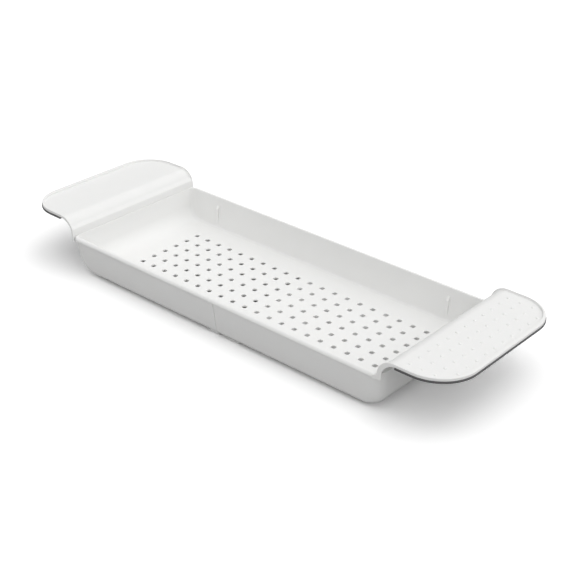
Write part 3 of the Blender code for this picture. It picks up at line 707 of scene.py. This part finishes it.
# Guide strap: a flat bar of firmer plastic across the sleeve's open underside, moulded with four round pegs
# that sit in holes of the sleeve's floor flanges. The tongue runs over its crest, and the caddy stands on
# it and on the foot.
STRAP_START = 0.0109
STRAP_END = 0.0294
STRAP_TOP = -0.0062
STRAP_CREST_TOP = -0.0045
STRAP_CREST_SIDE = 0.0697
STRAP_HOLE_COLUMN = 11
STRAP_HOLE_FLARE = 0.0003
PEG_RADIUS = 0.0020
PEG_LENGTH = 0.0029
STRAP_WHITE = (0.80, 0.80, 0.785)
STRAP_SHADE = (0.77, 0.77, 0.755)

strap = foot_bar("strap", STRAP_START, STRAP_END, FOOT_SIDE, FOOT_UNDER, STRAP_TOP)
combine(strap, bar("crest", (STRAP_START, -STRAP_CREST_SIDE, STRAP_TOP - PROUD),
                   (STRAP_END, STRAP_CREST_SIDE, STRAP_CREST_TOP)), "UNION")
add_pegs(strap, PEG_RADIUS, PEG_LENGTH, SLEEVE_INSIDE - RUNNING_GAP - PEG_LENGTH / 2, "UNION")
soften(strap, TRAY_EDGE_ROUND)
combine(strap, drain_holes(STRAP_CREST_TOP, SLEEVE_UNDER - FAR_OUT, STRAP_HOLE_FLARE, STRAP_HOLE_COLUMN, 1),
        "DIFFERENCE")
strap_plastic = moulded_material("strap_polypropylene", STRAP_WHITE, STRAP_SHADE, grain=0.0005,
                                 depth=0.000010, rough_low=0.45, rough_high=0.60, sheen=0.40,
                                 depth_glow=0.12)
settle(strap, "guide_strap_moulding", "main", "guide_strap", strap_plastic)

# Grip pads: a dark rubber plate under each wing, a little proud of its outline and rounded below, bonded
# to the plastic. It shows as a dark line round the wing's edge and keeps the caddy from slipping.
PAD_UNDER = 0.0494
PAD_ROUND = 0.0009
PAD_SETBACK = 0.0015
PAD_PROUD = 0.0006
RUBBER = (0.135, 0.133, 0.135)
RUBBER_SHADE = (0.115, 0.115, 0.118)


def grip_pad(name, end, wing_end, root_side, side, corner, way):
    """Rubber plate that follows the plan of a wing, from behind the hump outwards."""
    start = hump_middle(end)[0] + PAD_SETBACK
    item = plan_room(name, start - 2 * FAR_OUT, end_place(end, BASIN_RISE), wing_end + PAD_PROUD,
                     root_side + PAD_PROUD, side + PAD_PROUD, corner + PAD_PROUD, way)
    ends = sorted((way * start, way * (wing_end + FAR_OUT)))
    combine(item, bar("pad_room", (ends[0], -LIP_SIDE - FAR_OUT, PAD_UNDER),
                      (ends[1], LIP_SIDE + FAR_OUT, WING_UNDER)), "INTERSECT")
    round_edges(item, PAD_ROUND, 6,
                lambda edge: all(abs(point.co.z - PAD_UNDER) < SAME_PLACE for point in edge.verts))
    return item


pad_rubber = moulded_material("grip_rubber", RUBBER, RUBBER_SHADE, grain=0.0009, depth=0.00004,
                              rough_low=0.72, rough_high=0.90, sheen=0.30, depth_glow=0.0)
settle(grip_pad("right_pad", BASIN_END, RIGHT_WING_END, LIP_SIDE, RIGHT_WING_SIDE, RIGHT_WING_CORNER, 1),
       "right_grip_pad_rubber", "main", "right_grip_pad", pad_rubber)
settle(grip_pad("left_pad", TRAY_END_INSIDE, LEFT_WING_END, LEFT_ROOT_SIDE, LEFT_WING_SIDE,
                LEFT_WING_CORNER, -1),
       "left_grip_pad_rubber", "slider", "left_grip_pad", pad_rubber)

# Camera: a long lens at the place that the photograph was taken from, above the near side and to the
# right. Its place and turn were worked out from the pattern of the drain holes.
CAMERA_TURN = math.radians(40.549)
CAMERA_RISE = math.radians(28.680)
CAMERA_ROLL = math.radians(0.899)
CAMERA_PLACE = (0.7381, -0.8364, 0.6285)
CAMERA_LENS = 76.37
back = Vector((math.sin(CAMERA_TURN) * math.cos(CAMERA_RISE),
               -math.cos(CAMERA_TURN) * math.cos(CAMERA_RISE), math.sin(CAMERA_RISE)))
level_right = Vector((math.cos(CAMERA_TURN), math.sin(CAMERA_TURN), 0))
level_up = back.cross(level_right)
right = math.cos(CAMERA_ROLL) * level_right + math.sin(CAMERA_ROLL) * level_up
up = -math.sin(CAMERA_ROLL) * level_right + math.cos(CAMERA_ROLL) * level_up
bpy.ops.object.camera_add()
camera = bpy.context.object
camera.data.lens = CAMERA_LENS
camera.data.sensor_width = 36
camera.data.clip_end = 20
camera.matrix_world = Matrix.Translation(CAMERA_PLACE) @ Matrix((right, up, back)).transposed().to_4x4()
bpy.context.scene.camera = camera

# Plain floor: a wide sheet of white board. The camera sees it at its full white, and it throws back less
# light than that on the underside, as board does.
FLOOR_SEEN = (1.22, 1.22, 1.22)
FLOOR_BOUNCE = (0.6, 0.6, 0.6)
bpy.ops.object.select_all(action="DESELECT")
bpy.ops.mesh.primitive_plane_add(size=12)
ground = bpy.context.object
ground.name = "ground"
board = bpy.data.materials.new("white_board")
board.use_nodes = True
nodes, links = board.node_tree.nodes, board.node_tree.links
shader = nodes["Principled BSDF"]
shader.inputs["Roughness"].default_value = 1.0
shader.inputs["Specular IOR Level"].default_value = 0.0
path = nodes.new("ShaderNodeLightPath")
seen = nodes.new("ShaderNodeMix")
seen.data_type = "RGBA"
seen.inputs["A"].default_value = (*FLOOR_BOUNCE, 1)
seen.inputs["B"].default_value = (*FLOOR_SEEN, 1)
links.new(path.outputs["Is Camera Ray"], seen.inputs["Factor"])
links.new(seen.outputs["Result"], shader.inputs["Base Color"])
ground.data.materials.append(board)

# Studio light: wide soft lamps, most of the light from overhead and the rest from the right and behind.
# The room gives no light of its own, and the camera sees it as plain white.
# Each lamp's name, turn, lean from overhead, spread in degrees, and strength
LAMPS = (
    ("overhead_wide", 0, 0, 150, 1.60),
    ("overhead", 0, 0, 60, 0.33),
    ("left", 270, 45, 80, 0.13),
    ("front", 0, 50, 90, 0.44),
    ("right", 90, 50, 90, 0.55),
    ("back_right", 135, 45, 80, 0.70),
    ("back_low", 180, 65, 60, 0.22),
)
world = bpy.context.scene.world or bpy.data.worlds.new("room")
bpy.context.scene.world = world
world.use_nodes = True
nodes, links = world.node_tree.nodes, world.node_tree.links
backdrop = nodes["Background"]
backdrop.inputs["Color"].default_value = (1, 1, 1, 1)
path = nodes.new("ShaderNodeLightPath")
links.new(path.outputs["Is Camera Ray"], backdrop.inputs["Strength"])
for name, azimuth, lean, spread, energy in LAMPS:
    bpy.ops.object.select_all(action="DESELECT")
    bpy.ops.object.light_add(type="SUN", location=(0, 0, 2),
                             rotation=(math.radians(lean), 0, math.radians(azimuth)))
    lamp = bpy.context.object
    lamp.name = name
    lamp.data.energy = energy
    lamp.data.angle = math.radians(spread)

scene = bpy.context.scene
scene.view_settings.view_transform = "Standard"
